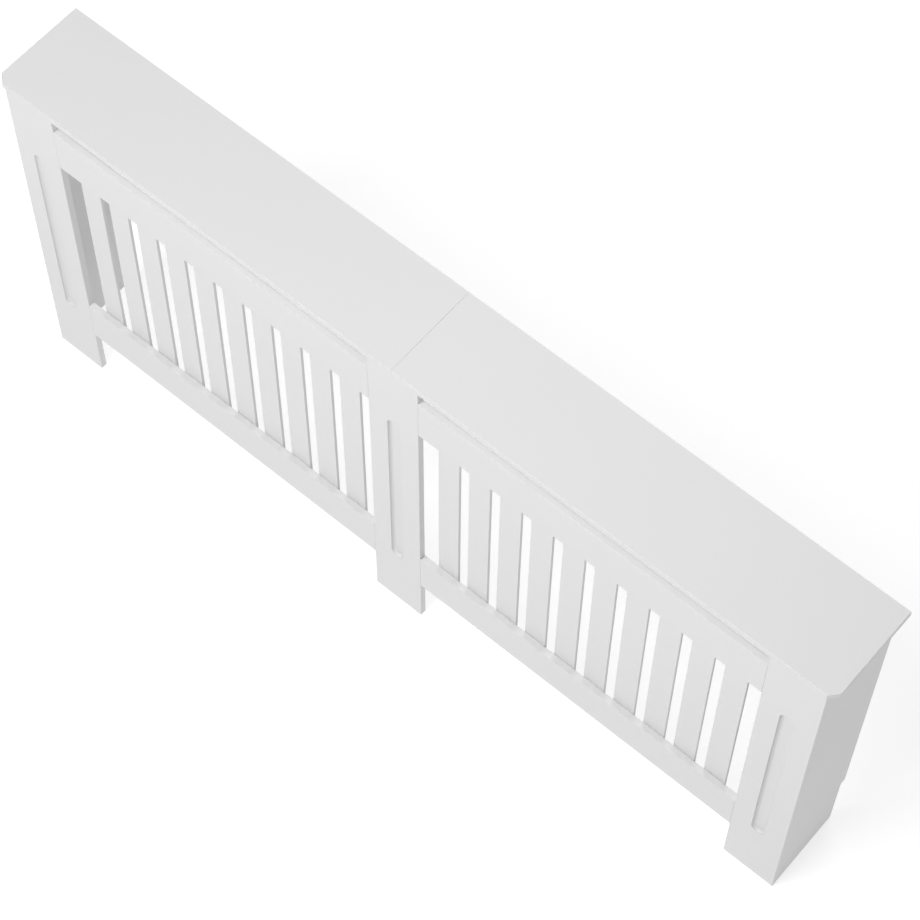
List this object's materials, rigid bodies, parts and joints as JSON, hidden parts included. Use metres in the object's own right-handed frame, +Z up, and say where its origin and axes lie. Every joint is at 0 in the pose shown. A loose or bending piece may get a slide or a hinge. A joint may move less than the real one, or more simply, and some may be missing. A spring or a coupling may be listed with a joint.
{
  "type": "radiator cover cabinet",
  "caption": "White slatted cabinet that stands over a wall radiator: long two-part top with clipped front corners, fluted posts, slatted bays, end panels, open back.",
  "frame": {"origin": "floor level, centre of the length and of the depth", "axes": "+X along the length to the right seen from the front, +Y towards the wall, +Z up"},
  "size_m": [1.72, 0.19, 0.815],
  "materials": {
    "white_mdf": "satin white paint on MDF",
    "beech": "plain beech",
    "zinc_steel": "zinc plated",
    "zinc_screw": "zinc plated"
  },
  "bodies": {
    "root": {"angle_screws_left": "zinc_screw", "angle_screws_right": "zinc_screw", "bottom_rail_dowels_left": "beech", "bottom_rail_dowels_right": "beech", "bottom_rail_left": "white_mdf", "bottom_rail_right": "white_mdf", "corner_angle_lower_left": "zinc_steel", "corner_angle_lower_right": "zinc_steel", "corner_angle_upper_left": "zinc_steel", "corner_angle_upper_right": "zinc_steel", "post_angle_middle": "zinc_steel", "post_left": "white_mdf", "post_middle": "white_mdf", "post_right": "white_mdf", "seam_batten": "white_mdf", "seam_batten_screws": "zinc_screw", "side_panel_left": "white_mdf", "side_panel_right": "white_mdf", "slat_left_01": "white_mdf", "slat_left_02": "white_mdf", "slat_left_03": "white_mdf", "slat_left_04": "white_mdf", "slat_left_05": "white_mdf", "slat_left_06": "white_mdf", "slat_left_07": "white_mdf", "slat_left_08": "white_mdf", "slat_left_09": "white_mdf", "slat_left_10": "white_mdf", "slat_right_01": "white_mdf", "slat_right_02": "white_mdf", "slat_right_03": "white_mdf", "slat_right_04": "white_mdf", "slat_right_05": "white_mdf", "slat_right_06": "white_mdf", "slat_right_07": "white_mdf", "slat_right_08": "white_mdf", "slat_right_09": "white_mdf", "slat_right_10": "white_mdf", "top_angle_left": "zinc_steel", "top_angle_right": "zinc_steel", "top_board_left": "white_mdf", "top_board_right": "white_mdf", "top_rail_dowels_left": "beech", "top_rail_dowels_right": "beech", "top_rail_left": "white_mdf", "top_rail_right": "white_mdf", "wall_angle_left": "zinc_steel", "wall_angle_right": "zinc_steel"}
  },
  "joints": []
}
